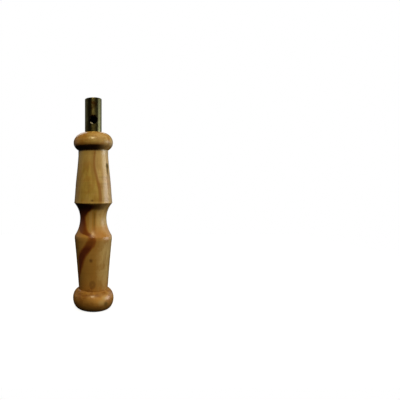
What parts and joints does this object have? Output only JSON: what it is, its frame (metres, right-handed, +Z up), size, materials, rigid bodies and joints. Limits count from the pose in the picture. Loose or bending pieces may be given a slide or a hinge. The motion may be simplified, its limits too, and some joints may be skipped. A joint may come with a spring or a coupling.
{
  "type": "mouse call",
  "caption": "Small whistle with a round window in a brass tube, which slides in the socket of a turned wooden handle.",
  "frame": {"origin": "middle of the handle's flat base", "axes": "+Z up along the handle's and the tube's common axis; the window faces -Y"},
  "size_m": [0.0194, 0.0194, 0.099],
  "materials": {
    "varnished_wood": "glossy varnish over pale tan wood with a reddish heartwood streak",
    "aged_brass": "aged, dark olive-brown, with brighter worn edges",
    "block_wood": "plain, stained dark by breath",
    "dowel_wood": "plain, unvarnished",
    "cork": "natural cork, matte"
  },
  "bodies": {
    "handle": {"handle": "varnished_wood", "stopper_rod": "dowel_wood", "stopper_cork": "cork"},
    "whistle": {"whistle_tube": "aged_brass", "windway_block": "block_wood"}
  },
  "joints": [
    {"name": "tube_slide", "type": "slide", "parent": "handle", "child": "whistle", "axis": [0, 0, 1], "range_m": [-0.0033, 0.012]}
  ]
}
